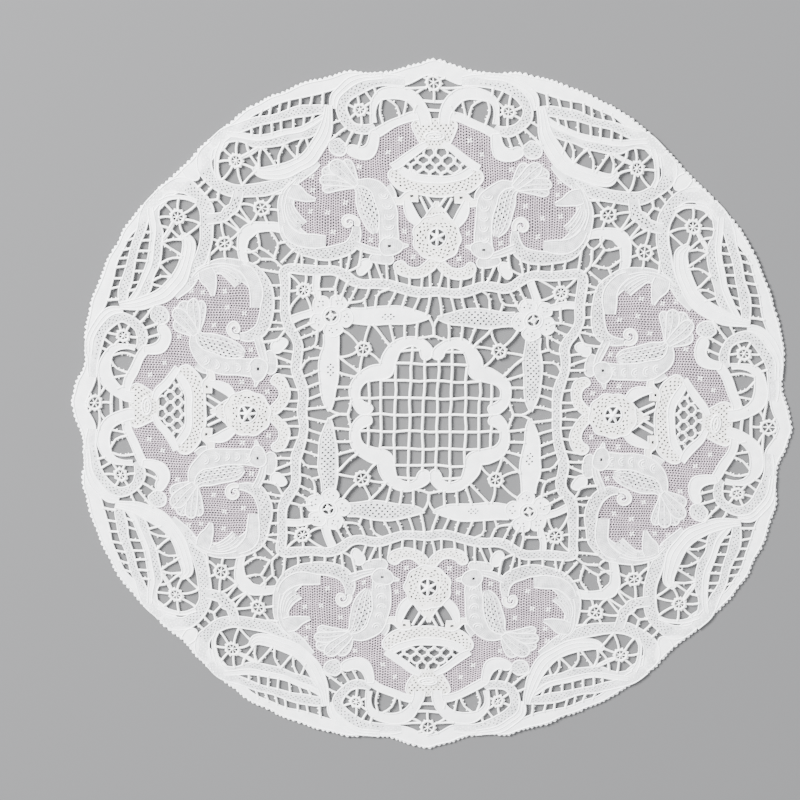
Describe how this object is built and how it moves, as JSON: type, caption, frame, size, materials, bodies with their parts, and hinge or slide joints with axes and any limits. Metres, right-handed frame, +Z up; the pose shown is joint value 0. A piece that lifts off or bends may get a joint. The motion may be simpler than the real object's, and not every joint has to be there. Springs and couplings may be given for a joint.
{
  "type": "lace doily",
  "caption": "Round needle-lace doily with a scalloped picot edge, birds, urns, scrolls and a net centre, lying flat.",
  "frame": {"origin": "centre of the lace on the surface it lies on", "axes": "+Z up out of the right side of the lace; +X and +Y through two neighbouring panels, each with an urn and a pair of birds"},
  "size_m": [0.2606, 0.2596, 0.0012],
  "materials": {
    "linen_thread": "matt bleached linen thread, close-worked lace and net"
  },
  "bodies": {
    "root": {"doily": "linen_thread"}
  },
  "joints": []
}
